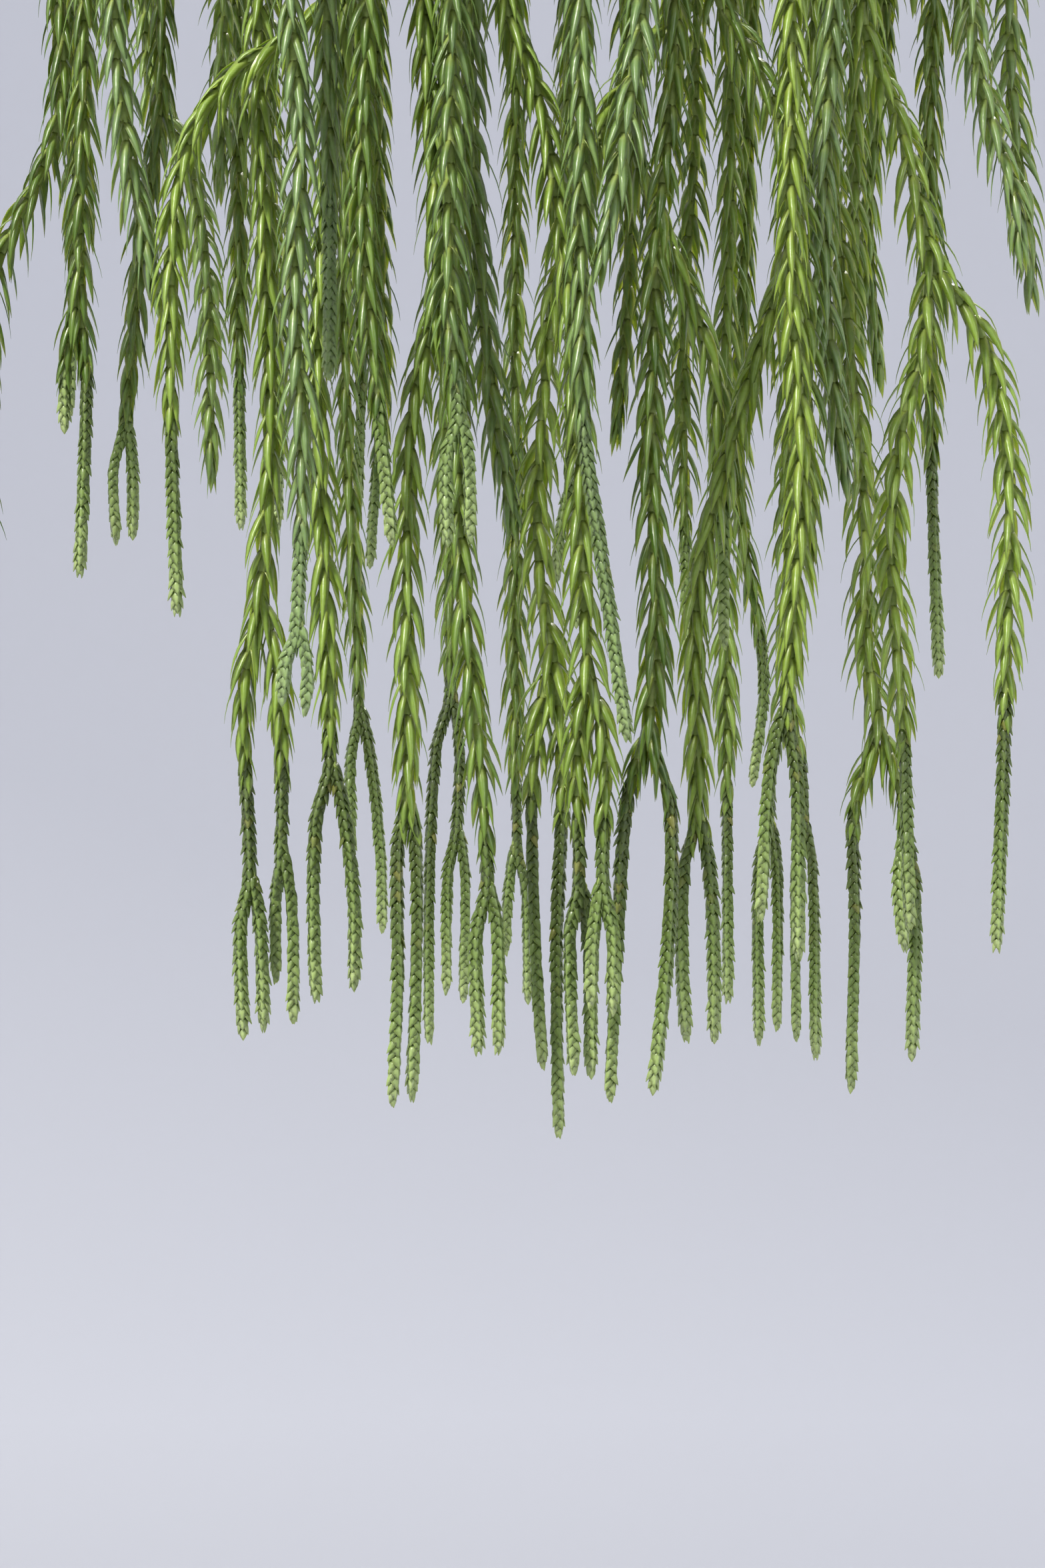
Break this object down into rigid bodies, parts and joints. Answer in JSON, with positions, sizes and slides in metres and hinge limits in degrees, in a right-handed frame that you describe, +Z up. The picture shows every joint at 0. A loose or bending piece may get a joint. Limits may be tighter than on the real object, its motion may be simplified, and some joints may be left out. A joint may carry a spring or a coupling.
{
  "type": "potted clubmoss",
  "caption": "Hanging pot of tassel clubmoss: long drooping stems that fork in twos and end in slim scaly cones, over the rim of a plain pot on a three-wire hanger with a hook.",
  "frame": {"origin": "the point on the inside of the hook's crook where it bears on what it hangs from", "axes": "+Z up along the pot's axis; -Y towards the side of the plant that is densest and is seen first; the hook's crook lies in the XZ plane"},
  "size_m": [0.2481, 0.2395, 0.6252],
  "materials": {
    "pot_plastic": "plain moulded plastic, fine matt",
    "potting_mix": "damp bark chips and fibre with moss",
    "hanger_steel": "drawn zinc-plated wire",
    "stem_green": "living stem and waxy leaves, mid green to pale green at the cone tips"
  },
  "bodies": {
    "root": {"pot": "pot_plastic", "potting_mix": "potting_mix", "hook": "hanger_steel", "ferrule": "hanger_steel", "wire_1": "hanger_steel", "wire_2": "hanger_steel", "wire_3": "hanger_steel", "stem_01": "stem_green", "stem_02": "stem_green", "stem_03": "stem_green", "stem_04": "stem_green", "stem_05": "stem_green", "stem_06": "stem_green", "stem_07": "stem_green", "stem_08": "stem_green", "stem_09": "stem_green", "stem_10": "stem_green", "stem_11": "stem_green", "stem_12": "stem_green", "stem_13": "stem_green", "stem_14": "stem_green", "stem_15": "stem_green", "stem_16": "stem_green", "stem_17": "stem_green", "stem_18": "stem_green", "stem_19": "stem_green", "stem_20": "stem_green", "stem_21": "stem_green", "stem_22": "stem_green", "stem_23": "stem_green", "stem_24": "stem_green", "stem_25": "stem_green", "stem_26": "stem_green", "stem_27": "stem_green", "stem_28": "stem_green", "stem_29": "stem_green", "stem_30": "stem_green", "stem_31": "stem_green", "stem_32": "stem_green", "stem_33": "stem_green", "stem_34": "stem_green", "stem_35": "stem_green", "stem_36": "stem_green", "stem_37": "stem_green", "stem_38": "stem_green", "stem_39": "stem_green", "stem_40": "stem_green", "stem_41": "stem_green", "stem_42": "stem_green", "stem_43": "stem_green", "stem_44": "stem_green", "stem_45": "stem_green", "stem_46": "stem_green", "stem_47": "stem_green", "stem_48": "stem_green", "stem_49": "stem_green", "stem_50": "stem_green", "stem_51": "stem_green", "stem_52": "stem_green", "stem_53": "stem_green"}
  },
  "joints": []
}
